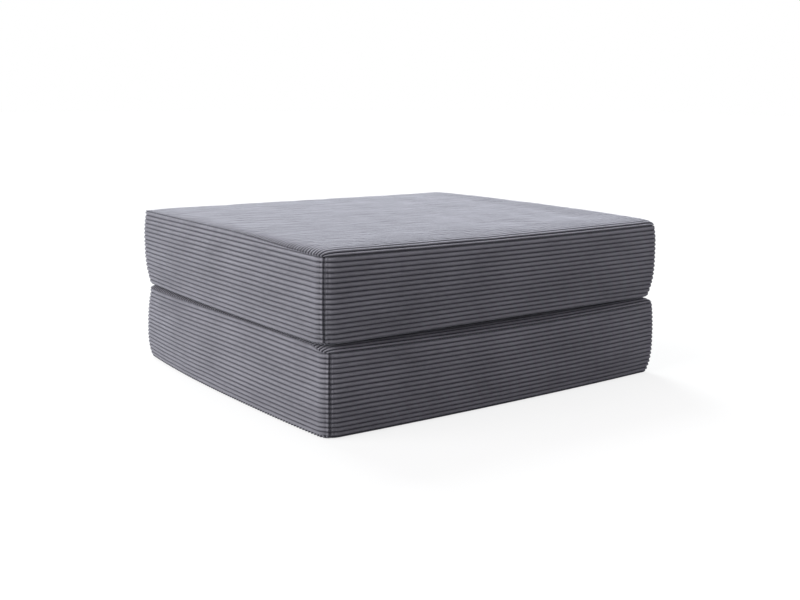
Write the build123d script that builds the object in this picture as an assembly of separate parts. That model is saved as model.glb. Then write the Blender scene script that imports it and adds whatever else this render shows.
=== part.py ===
from build123d import *

import os
from math import cos, radians, sin, sqrt, tan

# Fold-out ottoman guest bed: two covered foam blocks, one folded on top of the other.
#
# The blocks lie face to face and are joined along one end by a strip of cloth, so that the
# upper block turns over through half a turn and lies beside the lower one as a single bed.
# Each block is a foam core wrapped in two sheets of fibre wadding, inside a sewn cover of
# wide-wale corduroy that opens with a zip along its back.
#
# Frame: +Z up, origin at the middle of the lower block's underside. X runs along the bed, with
# the hinge at the +X end. Y runs across it, with the zips at the +Y side. Sizes are in mm.

# Overall size
block_length = 1000.0  # along the bed, half of the opened bed
block_width = 900.0  # across the bed
folded_height = 400.0
face_gap = 0.6  # between the two sleeping faces when folded
upper_shift = 6.0  # the folded upper block lies this far towards the free end

# Form of a covered block
edge_radius = 10.0  # rounding between a face and the sides
seam_drop = 5.0  # from a face's rim down to the seam with the border
side_bulge = 3.0  # how far the sides swell at half height
draw_in = 3.0  # how far the front and the free end pull in between their corners
corner_radius = 20.0  # upright corners at half height
upper_outer_softening = 5.0  # what the corner radius gains towards the upper block's top
upper_inner_softening = 26.0  # and towards its sleeping face
lower_outer_softening = 20.0  # the same for the lower block's underside
lower_inner_softening = 14.0  # and for its sleeping face
crown_height = 5.0  # rise of the upper block's outer face
crown_margin = 12.0  # from the outer face's rim in to the foot of the crown
crown_run = 260.0  # from the foot of the crown in to its flat middle
crown_run_shares = (0.0, 0.15, 0.4, 0.68, 1.0)  # of that run
crown_rise_shares = (0.0, 0.32, 0.68, 0.92, 1.0)  # of the crown's height
rim_level_shares = (0.0, 0.1, 0.4, 0.7)  # of the seam's drop, from the face outwards
side_level_shares = (0.0, 0.38, 0.62, 1.0)  # of an inner layer's side, level across the zip's tapes
corner_chords = 6  # faces round an upright corner
side_chords = 4  # faces along a side that is drawn in

# Corduroy
cloth_thickness = 3.7  # backing and pile together, at a wale's crest
wale_pitch = 11.0
wale_depth = 2.2  # groove between two wales
wale_height_shares = (0.0, 0.22, 0.78)  # of a wale's pitch
wale_groove_shares = (1.0, 0.0, 0.0)  # of the groove's depth

# Filling
layer_gap = 0.3  # between one layer and the next
wadding_thickness = 12.0
core_edge_radius = 3.0  # least rounding of an inner layer's edges
core_corner_radius = 6.0  # least radius of an inner layer's upright corners

# Zip along the back
zip_end_margin = 50.0  # from the blocks' ends to the zip's ends
zip_slot_height = 16.0  # between the two strips of the back border
tape_height = 15.0
tape_thickness = 0.8
coil_height = 2.5
coil_thickness = 2.4
coil_radius = 0.6
coil_slit = 1.0  # room for the slider's web between the two coils
zip_clearance = 0.25
end_tab_length = 14.0
end_tab_height = 12.0
end_tab_thickness = 1.6

# Zip slider
slider_length = 13.0
nose_height = 10.6  # the end that leads when the zip closes
tail_height = 8.6
wing_thickness = 1.2
wing_corner_radius = 1.6
web_length = 6.0
web_thickness = 0.5
arch_length = 9.0
arch_room = 2.4  # under the arch
arch_bar = 1.0  # thickness of the arch, and half its width
arch_top_share = 0.5  # of the arch's length
slider_end_gap = 1.0  # between the slider and a tab at either end of its travel

# Zip puller
puller_length = 34.0
puller_thickness = 1.4
puller_bar_diameter = 1.5
puller_arm_gap = 0.3
puller_arm_width = 1.6
puller_eye_end = 0.6  # beyond the bar's axis
puller_slot_length = 9.0
puller_grip_radius = 4.2
puller_hole_diameter = 4.0

# Hinge strip
hinge_reach = 3.0  # from the lower block's end out to the fold line
hinge_side_margin = 60.0  # from the blocks' sides to the strip's ends
hinge_cloth_thickness = 1.2
fold_tip_angle = 44.0  # narrow enough to keep the tips apart when folded
fold_clearance = 0.15

# Derived places
block_height = (folded_height - face_gap) / 2
fold_height = folded_height / 2
zip_length = block_length - 2 * zip_end_margin
hinge_strip_length = block_width - 2 * hinge_side_margin
tape_outer_y = block_width / 2 - cloth_thickness - layer_gap
tape_inner_y = tape_outer_y - tape_thickness
coil_outer_y = tape_outer_y + coil_thickness
wing_inner_y = coil_outer_y + zip_clearance
wing_outer_y = wing_inner_y + wing_thickness
back_wing_y = tape_inner_y - zip_clearance
slider_x = -zip_length / 2 + end_tab_length + slider_end_gap + slider_length / 2
cut_overrun = 30.0


def outline(z, inset, corner):
    """Closed outline of a block at height z, whose front and free end are drawn in."""
    x, y = block_length / 2 - inset, block_width / 2 - inset
    run_x, run_y = x - corner, y - corner
    points = []
    for turn, (way_x, way_y) in enumerate(((1, 1), (-1, 1), (-1, -1), (1, -1))):
        for chord in range(corner_chords + 1):
            angle = radians(90 * (turn + chord / corner_chords))
            points.append((way_x * run_x + corner * cos(angle), way_y * run_y + corner * sin(angle)))
        for chord in range(1, side_chords):
            share = chord / side_chords
            bow = draw_in * 4 * share * (1 - share)
            if turn == 1:
                points.append((bow - x, run_y * (1 - 2 * share)))
            if turn == 2:
                points.append((run_x * (2 * share - 1), bow - y))
    return Polyline(*((px, py, z) for px, py in points), close=True)


class Block:
    """Form of one block in the lower block's place, with its outer face down."""

    def __init__(self, crown, outer_softening, inner_softening):
        self.crown = crown
        self.outer_softening = outer_softening
        self.inner_softening = inner_softening
        self.low_seam = crown + seam_drop
        self.high_seam = block_height - seam_drop
        self.middle = (crown + block_height) / 2

    def inset_at(self, z, depth=0.0):
        """How far the sides stand in at height z, on the layer that lies depth inside."""
        radius = max(edge_radius - depth, core_edge_radius)
        low, high = self.crown + depth, block_height - depth
        from_face = max(min(z - low, high - z, radius), 0)
        rounding = radius - sqrt(radius**2 - (radius - from_face) ** 2)
        share = min(abs(z - self.middle) / (high - self.middle), 1)
        return depth + side_bulge * share**2 + rounding

    def corner_at(self, z, depth=0.0):
        """Radius of the upright corners at height z."""
        share = min(abs(z - self.middle) / (block_height - self.middle), 1)
        softening = self.outer_softening if z < self.middle else self.inner_softening
        return max(corner_radius + softening * share**4 - depth, core_corner_radius)

    def level(self, z, depth=0.0, groove=0.0):
        """Outline at height z of the layer that lies depth inside the cover's outside."""
        return outline(z, self.inset_at(z, depth) + groove, self.corner_at(z, depth))

    def crown_cap(self, depth=0.0):
        """Swell of the outer face: what two crossed roofs with eased slopes have in common."""
        foot = self.inset_at(self.crown) + crown_margin
        half_x, half_y = block_length / 2 - foot, block_width / 2 - foot
        roofs = []
        for half, plane, length in (
            (half_x, Plane.XZ, block_width),
            (half_y, Plane.YZ, block_length),
        ):
            slope = [
                (half - crown_run * run, self.crown * (1 - rise))
                for run, rise in zip(crown_run_shares, crown_rise_shares)
            ]
            mirrored = [(-across, up) for across, up in reversed(slope)]
            section = plane * make_face(Polyline(*slope, *mirrored, close=True))
            roofs.append(extrude(section, length / 2, both=True))
        return Pos(0, 0, depth) * (roofs[0] & roofs[1])

    def layer(self, depth):
        """Solid of all that lies depth inside the cover's outside."""
        radius = max(edge_radius - depth, core_edge_radius)
        low, high = self.crown + depth, block_height - depth
        side = high - low - 2 * radius
        heights = [low + radius + side * share for share in side_level_shares]
        levels = [self.level(z, depth) for z in (low, *heights, high)]
        return Solid.make_loft(levels, ruled=True)

    def crowned_layer(self, depth):
        """The same, with the outer face's crown where the block has one."""
        return self.layer(depth) + self.crown_cap(depth) if self.crown else self.layer(depth)

    def outer_panel(self):
        """Cover over the outer face, rolled over the edges to its seam."""
        rims = [self.level(self.crown + seam_drop * share) for share in rim_level_shares]
        seam = self.level(self.low_seam, groove=wale_depth)
        shell = Solid.make_loft(rims + [seam], ruled=True)
        if self.crown:
            shell += self.crown_cap()
        return shell - self.crowned_layer(cloth_thickness)

    def sleeping_panel(self):
        """Cover over the sleeping face, rolled over the edges to its seam."""
        rims = [self.level(block_height - seam_drop * s) for s in reversed(rim_level_shares)]
        seam = self.level(self.high_seam, groove=wale_depth)
        return Solid.make_loft([seam] + rims, ruled=True) - self.layer(cloth_thickness)

    def border_ring(self):
        """All four sides of the cover in one, with level wales from seam to seam."""
        height = self.high_seam - self.low_seam
        wales = round(height / wale_pitch)
        levels = [
            self.level(self.low_seam + height * (n + share) / wales, groove=wale_depth * groove)
            for n in range(wales)
            for share, groove in zip(wale_height_shares, wale_groove_shares)
        ]
        levels.append(self.level(self.high_seam, groove=wale_depth))
        return Solid.make_loft(levels, ruled=True) - self.layer(cloth_thickness)


def slab(x, y, z):
    """Box between two x, two y and two z values."""
    size = (x[1] - x[0], y[1] - y[0], z[1] - z[0])
    centre = ((x[0] + x[1]) / 2, (y[0] + y[1]) / 2, (z[0] + z[1]) / 2)
    return Pos(*centre) * Box(*size)


def about(middle, half):
    """The two values that lie half either side of the middle."""
    return middle - half, middle + half


def mitre(side):
    """Upright wedge round one side of the cover, cut at 45 degrees through the corners."""
    x, y = block_length / 2 + cut_overrun, block_width / 2 + cut_overrun
    ridge = x - y
    front = make_face(Polyline((-x, -y), (x, -y), (ridge, 0), (-ridge, 0), close=True))
    end = make_face(Polyline((x, -y), (x, y), (ridge, 0), close=True))
    plan = {
        "front": front,
        "back": mirror(front, Plane.XZ),
        "hinge_end": end,
        "free_end": mirror(end, Plane.YZ),
    }[side]
    return extrude(plan, block_height, dir=(0, 0, 1))


def cover(block):
    """Sewn pieces of the corduroy cover."""
    ring = block.border_ring()
    whole_x = about(0, block_length)
    near_back = about(block_width / 2, cut_overrun)
    slot = slab(about(0, zip_length / 2), near_back, about(block.middle, zip_slot_height / 2))
    back = (ring & mitre("back")) - slot
    return {
        "cover_outer_panel": block.outer_panel(),
        "cover_sleeping_panel": block.sleeping_panel(),
        "cover_front_border": ring & mitre("front"),
        "cover_free_end_border": ring & mitre("free_end"),
        "cover_hinge_end_border": ring & mitre("hinge_end"),
        "cover_zip_strip_outer": back & slab(whole_x, (0, block_width), (0, block.middle)),
        "cover_zip_strip_inner": back
        & slab(whole_x, (0, block_width), (block.middle, block_height)),
    }


def filling(block):
    """Foam core in two sheets of wadding, which are dented along the zip."""
    wadding_outside = cloth_thickness + layer_gap
    wadding_inside = wadding_outside + wadding_thickness
    wadding = block.crowned_layer(wadding_outside) - block.layer(wadding_inside)
    run = about(0, zip_length / 2 + layer_gap)
    for reach, depth in (
        (coil_slit / 2 + tape_height + layer_gap, tape_inner_y - layer_gap),
        (nose_height / 2 + layer_gap, back_wing_y - wing_thickness - zip_clearance),
    ):
        wadding -= slab(run, (depth, block_width / 2), about(block.middle, reach))
    whole_x, whole_y = about(0, block_length), about(0, block_width)
    return {
        "foam_core": block.layer(wadding_inside + layer_gap),
        "wadding_outer_sheet": wadding & slab(whole_x, whole_y, (0, block.middle)),
        "wadding_inner_sheet": wadding & slab(whole_x, whole_y, (block.middle, block_height)),
    }


def zip_coil(z, length):
    """One coil of the zip as a bar with rounded edges, centred at height z."""
    section = RectangleRounded(coil_thickness, coil_height, coil_radius)
    bar = extrude(Plane.YZ * section, length / 2, both=True)
    return Pos(0, tape_outer_y + coil_thickness / 2, z) * bar


def zip_chain(block):
    """Two tapes, each with its coil, and the cloth tabs that close the zip's ends."""
    tape_y = (tape_inner_y, tape_outer_y)
    coil_length = zip_length - 2 * end_tab_length
    parts = {}
    for name, way in (("outer", -1), ("inner", 1)):
        tape_z = block.middle + way * (coil_slit + tape_height) / 2
        coil_z = block.middle + way * (coil_slit + coil_height) / 2
        parts[f"zip_tape_{name}"] = slab(
            about(0, zip_length / 2), tape_y, about(tape_z, tape_height / 2)
        )
        parts[f"zip_coil_{name}"] = zip_coil(coil_z, coil_length)
    tab_y = (tape_outer_y, tape_outer_y + end_tab_thickness)
    tab_z = about(block.middle, end_tab_height / 2)
    tab = slab((coil_length / 2, zip_length / 2), tab_y, tab_z)
    parts["zip_end_tabs"] = Compound([tab.solid(), mirror(tab, Plane.YZ).solid()])
    return parts


def slider_plan(half_nose, half_tail, length):
    """Plan of a slider's wing, wide at the nose that leads when the zip closes."""
    half = length / 2
    plan = make_face(
        Polyline(
            (-half, -half_nose), (0, -half_nose), (half, -half_tail),
            (half, half_tail), (0, half_nose), (-half, half_nose), close=True,
        )
    )
    return Plane.XZ * fillet(plan.vertices(), wing_corner_radius)


def slider_arch(y, z):
    """Arched bar on the slider that the puller hangs in."""
    foot, rise = arch_length / 2, arch_room + arch_bar
    top = foot * arch_top_share
    outside = Polyline((-foot, 0), (-top, rise), (top, rise), (foot, 0), close=True)
    inner_foot, inner_top = foot - arch_bar, top - arch_bar / 2
    inside = Polyline(
        (-inner_foot, 0), (-inner_top, arch_room), (inner_top, arch_room), (inner_foot, 0),
        close=True,
    )
    side = make_face(outside) - make_face(inside)
    return Pos(slider_x, y, z) * extrude(side, arch_bar, both=True)


def zip_slider(block):
    """Slider that wraps both coils: two wings, joined by a web in the slit between them."""
    z = block.middle
    plan = slider_plan(nose_height / 2, tail_height / 2, slider_length)
    front_wing = Pos(slider_x, wing_outer_y, z) * extrude(plan, wing_thickness)
    back_wing = Pos(slider_x, back_wing_y, z) * extrude(plan, wing_thickness)
    rails = Pos(slider_x, wing_inner_y, z) * extrude(plan, coil_thickness)
    channel = coil_slit / 2 + coil_height + zip_clearance
    whole_x, whole_y = about(slider_x, slider_length), about(0, block_width)
    rails -= slab(whole_x, whole_y, about(z, channel))
    rails &= slab(whole_x, (tape_outer_y + zip_clearance, block_width), about(z, block_height))
    web_x = about(slider_x - (slider_length - web_length) / 2 + wing_corner_radius, web_length / 2)
    web = slab(web_x, (back_wing_y, wing_inner_y), about(z, web_thickness / 2))
    return front_wing + back_wing + rails + web + slider_arch(wing_outer_y, z)


def zip_puller(block):
    """Puller that lies flat along the closed zip, with its bar under the slider's arch."""
    slot_half = arch_bar + puller_arm_gap
    eye_radius = slot_half + puller_arm_width
    eye_x = eye_radius - puller_eye_end
    grip_x = puller_length - puller_grip_radius
    grip = Pos(grip_x, 0) * Circle(puller_grip_radius)
    plan = make_hull((Pos(eye_x, 0) * Circle(eye_radius)).edges() + grip.edges())
    plan -= Pos(puller_slot_length / 2, 0) * Rectangle(puller_slot_length, 2 * slot_half)
    plan -= Pos(grip_x, 0) * Circle(puller_hole_diameter / 2)
    blade = extrude(Plane.XZ * plan, puller_thickness / 2, both=True)
    bar = Cylinder(puller_bar_diameter / 2, 2 * slot_half + puller_arm_width)
    return Pos(slider_x, wing_outer_y + arch_room / 2, block.middle) * (blade + bar)


def hinge_leaf(block, reach, sewn_to):
    """One block's half of the cloth strip, from the groove of its seam to the fold line."""
    seam_inset = block.inset_at(block.high_seam) + wale_depth
    seam = Vector(block_length / 2 - seam_inset, block.high_seam)
    fold = Vector(block_length / 2 + reach, fold_height)
    along = (fold - seam).normalized()
    across = Vector(-along.Y, along.X) * (hinge_cloth_thickness / 2)
    tip = fold - along * fold_clearance
    shoulder = tip - along * (hinge_cloth_thickness / 2 / tan(radians(fold_tip_angle / 2)))
    points = (seam - across, shoulder - across, tip, shoulder + across, seam + across)
    section = make_face(Polyline(*((point.X, point.Y) for point in points), close=True))
    leaf = extrude(Plane.XZ * section, hinge_strip_length / 2, both=True)
    for piece in sewn_to:
        leaf -= piece
    return leaf


def block_parts(block, reach):
    """Every piece of one block, in the lower block's place."""
    parts = {**filling(block), **cover(block), **zip_chain(block)}
    parts["zip_slider"] = zip_slider(block)
    parts["zip_puller"] = zip_puller(block)
    sewn_to = (parts["cover_sleeping_panel"], parts["cover_hinge_end_border"])
    parts["hinge_leaf"] = hinge_leaf(block, reach, sewn_to)
    return parts


def turned_over(shape):
    """The same piece of the folded upper block."""
    return Pos(-upper_shift, 0, 0) * mirror(shape, Plane.XY.offset(fold_height))


os.makedirs("parts", exist_ok=True)

lower = Block(0.0, lower_outer_softening, lower_inner_softening)
for name, shape in block_parts(lower, hinge_reach).items():
    export_step(shape, f"parts/lower_{name}.step")

upper = Block(crown_height, upper_outer_softening, upper_inner_softening)
for name, shape in block_parts(upper, hinge_reach + upper_shift).items():
    export_step(turned_over(shape), f"parts/upper_{name}.step")
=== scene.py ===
import math

import bpy
import numpy as np
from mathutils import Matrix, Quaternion, Vector


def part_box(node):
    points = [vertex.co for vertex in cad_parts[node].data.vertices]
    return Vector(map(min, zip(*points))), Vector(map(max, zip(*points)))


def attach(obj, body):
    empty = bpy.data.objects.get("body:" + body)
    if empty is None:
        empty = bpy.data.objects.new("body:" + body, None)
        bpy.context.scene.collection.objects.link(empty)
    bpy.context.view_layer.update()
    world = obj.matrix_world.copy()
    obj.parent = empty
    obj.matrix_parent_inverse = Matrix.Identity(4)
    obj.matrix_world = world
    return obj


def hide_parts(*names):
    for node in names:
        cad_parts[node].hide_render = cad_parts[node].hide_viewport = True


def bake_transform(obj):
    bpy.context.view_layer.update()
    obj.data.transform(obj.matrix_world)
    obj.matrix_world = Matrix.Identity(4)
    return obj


# Looks of the fold-out ottoman guest bed: a corduroy cover of sewn panels on each block, the
# filling inside, the zips along the back and the cloth strip that joins the two blocks.
#
# All sizes are in metres, in the row frame: +Z up, X along the bed with the hinge at +X, Y across
# it with the zips at +Y. A block's own height k runs from its sleeping face out to its outer face.

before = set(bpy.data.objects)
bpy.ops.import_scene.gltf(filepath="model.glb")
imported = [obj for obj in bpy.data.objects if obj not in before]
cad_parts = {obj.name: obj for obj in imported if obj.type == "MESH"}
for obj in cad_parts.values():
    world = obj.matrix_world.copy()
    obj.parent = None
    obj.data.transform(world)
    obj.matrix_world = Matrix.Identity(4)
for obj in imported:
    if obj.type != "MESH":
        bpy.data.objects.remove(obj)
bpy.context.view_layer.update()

# Form of a covered block: each pair is for its sleeping face and for its outer face
EDGE_TILT = {"lower": (6, 55), "upper": (3, 16)}  # of a face's cloth near its seam, in degrees
EDGE_TURN = {"lower": (76, 0), "upper": (12, 68)}  # how much further it turns right at the seam
EDGE_TURN_POWER = 5  # how late on the rolled edge that turn comes
EDGE_REACH = {"lower": (0.066, 0.020), "upper": (0.036, 0.064)}  # of the rolled edge
SIDE_TUCK = {"lower": (0.004, 0.007), "upper": (0.008, 0.0035)}  # of the sides, at the seams
CORNER_RADIUS = 0.016  # at half height
NEAR_CORNER_EXTRA = 0.014  # the corner between the front and the free end is rounder
SOFTENING = {"lower": (0.002, 0.006), "upper": (0.010, 0.004)}  # of the corners, at the seams
BOWS = {  # how far a side swells between its corners
    "lower": {"front": (0.0, 0.012), "free_end": (0.003, 0.021), "hinge_end": (0.0, 0.0)},
    "upper": {"front": (0.008, 0.0), "free_end": (0.012, 0.0), "hinge_end": (0.0, 0.0)},
}
SAGS = {  # how far its seams lie further out from the sleeping faces than at its corners
    "lower": {"front": (0.008, 0.0), "free_end": (0.001, 0.0), "hinge_end": (0.0, 0.0)},
    "upper": {"front": (0.003, -0.004), "free_end": (0.0, 0.0), "hinge_end": (0.0, 0.006)},
}
BOW_REACH = 0.12  # how far in from the side these fade out
# Towards the free end's back corner a side swells and its wales lie further out from the sleeping
# faces: how far, and between which shares of the way along the free end this grows
BACK_CORNER_DROOP = {"lower": 0.009, "upper": 0.0}  # of the sleeping face's seam
BACK_CORNER_BULGE = {"lower": (0.002, 0.0085), "upper": (0.002, 0.002)}
BACK_CORNER_SPAN = (0.30, 0.90)
FREE_END_REACH = 0.045  # how far in from the free end these and the next fade out
# One more wale tops each free end, cut to nothing by the seam towards the front: between which
# shares of the way along the free end it grows
CUT_WALE_SPAN = {"lower": (0.02, 0.07), "upper": (0.05, 0.47)}
FREE_END_LEAST = 0.03  # share of all these that is there from the front on
ROLL_STEPS = 120
TURN_STEPS = 91

# Corduroy
WALE_PITCH = 0.0106
WALE_DEPTH = 0.0028
WALE_FLATNESS, WALE_FULLNESS = 1.7, 0.75  # powers that shape the crest
BORDER_WALES = 17
WALE_SAMPLES = (0.0, 0.1, 0.27, 0.5, 0.73, 0.9)  # rows of each wale, as shares of its pitch
WALE_END_SHARE = 0.5  # of a groove's depth that is left at a seam across it
WALE_END_REACH = 0.003
PARTING = 0.9  # how much wider the grooves look where a face turns to its seam
PARTING_DEPTH = 0.9  # and how much deeper
PARTING_REACH = 0.026
WALE_UNEVENNESS = 0.12  # how much one wale's height differs from the next
SEAM_DEPTH = 0.0030  # how far the cloth turns in at an upright seam or a panel's seam
SEAM_WIDTH = 0.0036
LEVEL_SEAM_DEPTH = 0.0016  # the same for a border at its upper and lower seams
LEVEL_SEAM_WIDTH = 0.0024
SEAM_PAINTED_SHADE = 0.5  # share of the pile's colour left within a seam's width: painted shade where the cloth turns in at a seam
PUFF_HEIGHT = 0.0011  # of a wale's end, just before the stitching pinches it
PUFF_PLACE = 0.0045
PUFF_SIZE = 0.0022
PLEAT_DEPTH = 0.0012  # of the fold beside an upright seam
PLEAT_PLACE = 0.0090
PLEAT_SIZE = 0.0016
PLEAT_MEAN, PLEAT_SPREAD = 0.6, 0.4  # shares of that depth: always there, and uneven
PLEAT_SPREAD_SIZE = 0.03
TUCK_HEIGHT = 0.0009  # of the small folds at the corners
TUCK_REACH = 0.016
TUCK_PITCH = 0.008
TUCK_FADE, TUCK_SLANT = 0.6, 0.8  # weights of the distance from a level seam
SWELL = 0.0008  # slow unevenness of the filled cover
SWELL_SIZE = 0.17
SWELL_FADE = 0.03  # how far from a seam it starts
FINE_SWELL = 0.0004  # the same for small dents in the panels
FINE_SWELL_SIZE = 0.03
BORDER_RISE, PANEL_RISE = 0.0004, 0.0003  # how far it may stand proud of the form
WALE_SHIFT = 0.0011  # how far wales leave their level near the upright seams
WALE_SHIFT_REACH = 0.012
WALE_SHIFT_SCALE, WALE_SHIFT_ENDS = 90, 3.0  # of heights and ends, for the waves
WALE_SHIFT_SIZE = 2.2
WAVE_COUNT = 9
WAVE_SPREAD = (0.6, 1.8)  # of the waves' lengths, about the size asked for

# Starts of the random draws
BLOCK_SEEDS = {"lower": 57, "upper": 11}
PANEL_SEEDS = {"outer": 21, "sleeping": 31}

# The near corner's upright seam lies in one upright plane: these are its heading and place
SEAM_PLANE_HEADING = math.radians(-36.13)
SEAM_PLANE_PLACE = {"lower": -0.1296, "upper": -0.1362}

# Zip along the back
SLOT_HALF = 0.008
SLOT_HALF_LENGTH = 0.450
HEM_BAND = 0.010  # of the cloth along the slot that is sewn flat
HEM_FOLD = 0.0004
HEM_RISE = 0.001  # from the last groove to the flat band
HEM_PILE = 0.9  # share of the pile's height in that band
SLOT_ROW, SLOT_PILE = 0.002, 0.2  # row beside the zip's middle, and the pile in the middle
SLOT_END_CLEAR = 0.004  # of other columns, as a share of the half side
TAPE_FACE = 0.4461  # how far back the hems reach down to the tapes
TAPE_BACK, TAPE_FRONT = 0.4452, 0.4460
TAPE_EDGE = 0.0005  # from the zip's middle
TAPE_HEIGHT = 0.015
TAPE_ROUNDING = 0.0002
TOOTH_TIP, TOOTH_HEEL = 0.0003, 0.0030
TOOTH_HEIGHT = 0.0024
TOOTH_WIDTH = 0.0012
TOOTH_PITCH = 0.0020
TOOTH_ROUNDING = 0.0006
TAB_LENGTH = 0.014
TAB_THICKNESS = 0.0016
TAB_HALF = 0.006
TAB_ROUNDING = 0.0005
STITCH_LENGTH = 0.0030
STITCH_THICKNESS = 0.0007
STITCH_PITCH = 0.0042
STITCH_MARGIN = 0.0040
STITCH_SIDES = 6
STITCH_TAPER = 0.6  # share of its half length at which a stitch starts to thin
STITCH_SINK = 0.1  # of a wale's depth
METAL_EDGE = 0.0002

# Inside and between the covers
WADDING_DEPTH = 0.0085  # below the pile's crests
CORE_DEPTH = 0.0205
LAYER_GAP = 0.0003
LAYER_ROLL_SHARES = (0, 0.3, 0.55, 0.8, 1)  # of a rolled edge, where a layer has a ring
LAYER_SIDE_SHARES = (0.3, 0.6)  # and of the way from the seam to half height
LAYER_ARC_POINTS = 5
LAYER_SIDE_POINTS = 12
LEAST_RADIUS = 0.008
HINGE_CLOTH = 0.0012
HINGE_STEPS = 9  # points of the strip's line on each side of the fold
HINGE_BEND = 0.9
HINGE_COLUMNS = 66

# Mesh
ARC_COLUMNS = 20
ARC_CROWDING = 1.4
SIDE_COLUMN = 0.009
PANEL_COLUMN = 0.012
EDGE_COLUMNS = 22
EDGE_CROWDING = 1.6
EDGE_LEAST = 0.035  # width of the close columns at a panel's ends
TINY = 1e-12

SIDES = ("hinge_end", "back", "free_end", "front")
OUTWARD = {"hinge_end": (1, 0), "back": (0, 1), "free_end": (-1, 0), "front": (0, -1)}

# Camera, from the object's outline and seams in the photograph
CAMERA_TARGET = Vector((0.0, 0.0, 0.2))
CAMERA_ANGLES = (-36.131, 11.098, 0.546)  # azimuth, elevation and roll
CAMERA_DISTANCE = 2.7854
CAMERA_RIGHT = 0.0109
CAMERA_UP = -0.0280
FOCAL_PIXELS = 1061.4
PICTURE_WIDTH = 800

# Room and floor
ROOM_COLOUR = (0.97, 0.94, 1.0, 1)
FLOOR_HALF = 30.0
FLOOR_LEVEL = -0.0005
FLOOR_BOUNCE = (0.22, 0.22, 0.22, 1)  # what lights the object from below
FLOOR_PAPER = (0.2, 0.2, 0.2, 1)  # what the eye sees: the part with the shadow
FLOOR_GLOW = 0.82  # and the part without


def ease(x):
    """Smooth step from 0 to 1."""
    x = np.clip(x, 0, 1)
    return x * x * (3 - 2 * x)


def eased_from(least, x):
    """Smooth step from least to 1."""
    return least + (1 - least) * ease(x)


def waves(along, across, size, seed):
    """Smooth uneven field, mostly between -1 and 1, the same in each run."""
    rng = np.random.default_rng(seed)
    total = np.zeros(np.broadcast(along, across).shape)
    for _ in range(WAVE_COUNT):
        heading, phase = rng.uniform(0, math.tau, 2)
        number = math.tau / (size * rng.uniform(*WAVE_SPREAD))
        total += np.sin((along * math.cos(heading) + across * math.sin(heading)) * number + phase)
    return total / math.sqrt(2 * WAVE_COUNT)


def wale_height(phase):
    """Height of the pile from 0 in a groove to 1 on a crest; phase counts the wales."""
    share = np.abs(2 * (phase % 1) - 1)
    return np.power(1 - share**WALE_FLATNESS, WALE_FULLNESS)


def seam_fold(distance, depth=SEAM_DEPTH, width=SEAM_WIDTH):
    """How far the cloth turns in, this far from the stitching."""
    return depth * np.clip(1 - distance / width, 0, 1) ** 2


def wale_end(distance):
    """Share of the groove that is left, this far from a seam across the wales."""
    return eased_from(WALE_END_SHARE, distance / WALE_END_REACH)


def ridge(distance, place, size):
    """Soft ridge beside a seam: 1 at its place, 0 away from it."""
    return np.exp(-(((distance - place) / size) ** 2))


def pile_with_painted_seam_shade(pile, distance):
    """The pile as it is coloured, with painted shade along a seam, where the cloth turns in."""
    return pile * np.where(distance < SEAM_WIDTH, SEAM_PAINTED_SHADE, 1)


def from_edges(k):
    """How far each row lies from the nearer one of the first row and the last."""
    return np.minimum(k - k[:1], k[-1:] - k)


def tucks(from_corner, from_seam, seed):
    """Small folds that run out from where three seams meet."""
    reach = np.exp(-(from_corner + TUCK_FADE * from_seam) / TUCK_REACH)
    turn = np.random.default_rng(seed).uniform(0, math.tau)
    phase = math.tau * (from_corner - TUCK_SLANT * from_seam) / TUCK_PITCH + turn
    return TUCK_HEIGHT * reach * np.sin(phase)


def edge_roll(tilt, turn, reach):
    """Rolled edge of a face, outwards: distance along the cloth, way out, drop and slope."""
    along = np.linspace(0, reach, ROLL_STEPS)
    share = along / reach
    slope = math.radians(tilt) * share**2 + math.radians(turn) * share**EDGE_TURN_POWER
    middle = (slope[1:] + slope[:-1]) / 2
    step = along[1]
    out, drop = (np.append(0, np.cumsum(f(middle)) * step) for f in (np.cos, np.sin))
    return along, out, drop, slope


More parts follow.
